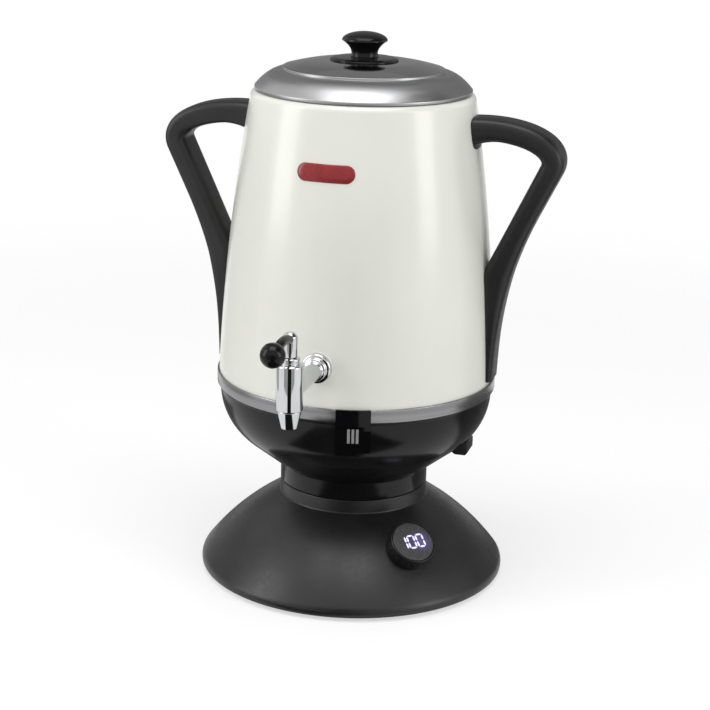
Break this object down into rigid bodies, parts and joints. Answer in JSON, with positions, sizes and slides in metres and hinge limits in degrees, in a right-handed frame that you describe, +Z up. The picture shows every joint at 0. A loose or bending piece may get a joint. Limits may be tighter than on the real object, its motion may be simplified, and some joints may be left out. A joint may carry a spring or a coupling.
{
  "type": "electric samovar",
  "caption": "Tapered hot water vessel with lift-off lid, side handles and a lever tap, standing on a domed powered base with a control dial.",
  "frame": {"origin": "on the vertical axis of the vessel, at the floor under the rubber foot ring", "axes": "+Z up; the tap points along -Y; the handles lie along -X and +X"},
  "size_m": [0.2906, 0.3203, 0.396],
  "materials": {
    "black_satin_plastic": "satin moulded black",
    "black_gloss_plastic": "gloss black",
    "white_enamel": "warm white enamel, gloss",
    "brushed_steel": "fine circular brushing",
    "chrome": "polished",
    "tank_steel": "plain stainless sheet",
    "fastener_steel": "zinc plated",
    "brass": "turned brass",
    "aluminium": "pressed plate",
    "element_steel": "heat-dulled sheath",
    "rubber_black": "moulded rubber",
    "silicone_white": "food silicone",
    "ceramic_body": "moulded insulating body",
    "board_green": "circuit board",
    "display_grey": "smoked display window",
    "lamp_white": "light guides"
  },
  "bodies": {
    "base": {"base_shell": "black_satin_plastic", "base_cover": "black_satin_plastic", "cover_screws": "fastener_steel", "foot_ring": "rubber_black", "cord_gland": "rubber_black", "power_post": "black_satin_plastic", "control_board": "board_green", "board_screws": "fastener_steel", "display_turret": "black_satin_plastic", "display_board": "board_green", "display_lens": "display_grey"},
    "dial": {"control_dial": "black_gloss_plastic"},
    "socket": {"power_socket": "black_satin_plastic"},
    "vessel": {"bowl": "black_gloss_plastic", "trim_band": "chrome", "indicator_panel": "black_gloss_plastic", "indicator_lamps": "lamp_white", "outer_shell": "white_enamel", "shell_screws": "fastener_steel", "inner_tank": "tank_steel", "rim_gasket": "silicone_white", "tank_pads": "silicone_white", "heater_plate": "aluminium", "heating_element": "element_steel", "thermostat": "ceramic_body", "thermal_fuse": "ceramic_body", "left_handle": "black_satin_plastic", "right_handle": "black_satin_plastic", "handle_screws": "fastener_steel", "tap_body": "chrome", "tap_outer_seal": "silicone_white", "tap_inner_seal": "silicone_white", "tap_nut": "tank_steel", "tap_nozzle": "chrome", "gland_nut": "chrome", "switch_block": "black_satin_plastic", "switch_pin": "fastener_steel"},
    "tap_valve": {"valve_plug": "brass", "plug_seals": "rubber_black", "lever_hub": "chrome", "tap_lever": "black_gloss_plastic", "lever_ball": "black_gloss_plastic"},
    "power_switch": {"switch_paddle": "black_satin_plastic"},
    "lid": {"lid_dome": "brushed_steel", "lid_liner": "black_satin_plastic", "lid_seal": "silicone_white", "knob_skirt": "black_gloss_plastic", "lid_knob": "black_gloss_plastic", "knob_screw": "fastener_steel", "knob_washer": "fastener_steel"}
  },
  "joints": [
    {"name": "vessel_lift", "type": "slide", "parent": "base", "child": "socket", "axis": [0, 0, 1], "range_m": [0, 0.06]},
    {"name": "vessel_swivel", "type": "hinge", "parent": "socket", "child": "vessel", "pos_m": [0, 0, 0.068], "axis": [0, 0, 1], "continuous": true},
    {"name": "lid_lift", "type": "slide", "parent": "vessel", "child": "lid", "axis": [0, 0, 1], "range_m": [0, 0.08]},
    {"name": "tap_turn", "type": "hinge", "parent": "vessel", "child": "tap_valve", "pos_m": [0, -0.16168, 0.18079], "axis": [0, 0, 1], "range_deg": [0, 90]},
    {"name": "switch_rock", "type": "hinge", "parent": "vessel", "child": "power_switch", "pos_m": [0.06294, 0, 0.10242], "axis": [0, 1, 0], "range_deg": [-10, 0]},
    {"name": "dial_turn", "type": "hinge", "parent": "base", "child": "dial", "pos_m": [-0.01984, 0.02026, -0.09604], "axis": [0.4432, -0.4525, 0.7738], "continuous": true}
  ]
}
